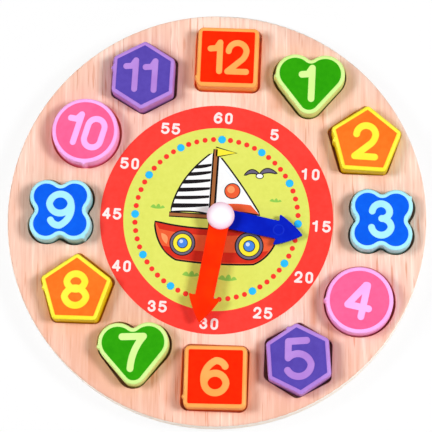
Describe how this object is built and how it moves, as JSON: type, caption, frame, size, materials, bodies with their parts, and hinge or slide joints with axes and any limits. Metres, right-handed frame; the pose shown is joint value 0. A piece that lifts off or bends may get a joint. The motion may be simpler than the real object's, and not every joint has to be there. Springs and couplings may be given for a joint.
{
  "type": "wooden clock puzzle",
  "caption": "Round wooden clock puzzle with a printed dial, turning arrow hands, and shaped number blocks that lift out of matching sockets round the rim.",
  "frame": {"origin": "centre of the board's round back face", "axes": "+Z points out of the dial, away from the board; +Y runs towards the socket of the 12; +X runs towards the 3"},
  "size_m": [0.18, 0.18, 0.0183],
  "materials": {
    "board_wood": "clear matt lacquer over pale plywood",
    "dial_red_ink": "satin printed ink",
    "dial_green_ink": "satin printed ink",
    "dot_red_ink": "satin printed ink",
    "dot_blue_ink": "satin printed ink",
    "figure_white_ink": "satin printed ink",
    "light_orange_paint": "satin paint on solid wood",
    "pale_green_paint": "satin paint on solid wood",
    "yellow_paint": "satin paint on solid wood",
    "pale_blue_paint": "satin paint on solid wood",
    "pale_pink_paint": "satin paint on solid wood",
    "lilac_paint": "satin paint on solid wood",
    "red_ink": "satin printed ink",
    "green_ink": "satin printed ink",
    "orange_ink": "satin printed ink",
    "blue_ink": "satin printed ink",
    "pink_ink": "satin printed ink",
    "purple_ink": "satin printed ink",
    "red_plastic": "semi-gloss moulded",
    "blue_plastic": "semi-gloss moulded",
    "white_plastic": "semi-gloss moulded",
    "grey_plastic": "satin moulded"
  },
  "bodies": {
    "board": {"back_board": "board_wood", "front_board": "board_wood", "dial_ring_print": "dial_red_ink", "dial_face_print": "dial_green_ink", "minute_dots": "dot_red_ink", "five_minute_dots": "dot_blue_ink", "minute_figures": "figure_white_ink", "pivot_tube": "grey_plastic", "pivot_cap": "white_plastic", "base_washer": "white_plastic", "hand_washer": "white_plastic"},
    "hour_hand": {"hour_hand": "blue_plastic"},
    "minute_hand": {"minute_hand": "red_plastic"},
    "block_01": {"block_01_heart": "pale_green_paint", "panel_01": "green_ink"},
    "block_02": {"block_02_pentagon": "yellow_paint", "panel_02": "orange_ink"},
    "block_03": {"block_03_clover": "pale_blue_paint", "panel_03": "blue_ink"},
    "block_04": {"block_04_round": "pale_pink_paint", "panel_04": "pink_ink"},
    "block_05": {"block_05_hexagon": "lilac_paint", "panel_05": "purple_ink"},
    "block_06": {"block_06_square": "light_orange_paint", "panel_06": "red_ink"},
    "block_07": {"block_07_heart": "pale_green_paint", "panel_07": "green_ink"},
    "block_08": {"block_08_pentagon": "yellow_paint", "panel_08": "orange_ink"},
    "block_09": {"block_09_clover": "pale_blue_paint", "panel_09": "blue_ink"},
    "block_10": {"block_10_round": "pale_pink_paint", "panel_10": "pink_ink"},
    "block_11": {"block_11_hexagon": "lilac_paint", "panel_11": "purple_ink"},
    "block_12": {"block_12_square": "light_orange_paint", "panel_12": "red_ink"}
  },
  "joints": [
    {"name": "hour_hand_turn", "type": "hinge", "parent": "board", "child": "hour_hand", "pos_m": [0.0021, -0.00035, 0.0123], "axis": [0, 0, 1], "continuous": true},
    {"name": "minute_hand_turn", "type": "hinge", "parent": "board", "child": "minute_hand", "pos_m": [0.0021, -0.00035, 0.0145], "axis": [0, 0, 1], "continuous": true},
    {"name": "block_01_lift", "type": "slide", "parent": "board", "child": "block_01", "axis": [0, 0, 1], "range_m": [0, 0.03]},
    {"name": "block_02_lift", "type": "slide", "parent": "board", "child": "block_02", "axis": [0, 0, 1], "range_m": [0, 0.03]},
    {"name": "block_03_lift", "type": "slide", "parent": "board", "child": "block_03", "axis": [0, 0, 1], "range_m": [0, 0.03]},
    {"name": "block_04_lift", "type": "slide", "parent": "board", "child": "block_04", "axis": [0, 0, 1], "range_m": [0, 0.03]},
    {"name": "block_05_lift", "type": "slide", "parent": "board", "child": "block_05", "axis": [0, 0, 1], "range_m": [0, 0.03]},
    {"name": "block_06_lift", "type": "slide", "parent": "board", "child": "block_06", "axis": [0, 0, 1], "range_m": [0, 0.03]},
    {"name": "block_07_lift", "type": "slide", "parent": "board", "child": "block_07", "axis": [0, 0, 1], "range_m": [0, 0.03]},
    {"name": "block_08_lift", "type": "slide", "parent": "board", "child": "block_08", "axis": [0, 0, 1], "range_m": [0, 0.03]},
    {"name": "block_09_lift", "type": "slide", "parent": "board", "child": "block_09", "axis": [0, 0, 1], "range_m": [0, 0.03]},
    {"name": "block_10_lift", "type": "slide", "parent": "board", "child": "block_10", "axis": [0, 0, 1], "range_m": [0, 0.03]},
    {"name": "block_11_lift", "type": "slide", "parent": "board", "child": "block_11", "axis": [0, 0, 1], "range_m": [0, 0.03]},
    {"name": "block_12_lift", "type": "slide", "parent": "board", "child": "block_12", "axis": [0, 0, 1], "range_m": [0, 0.03]}
  ]
}
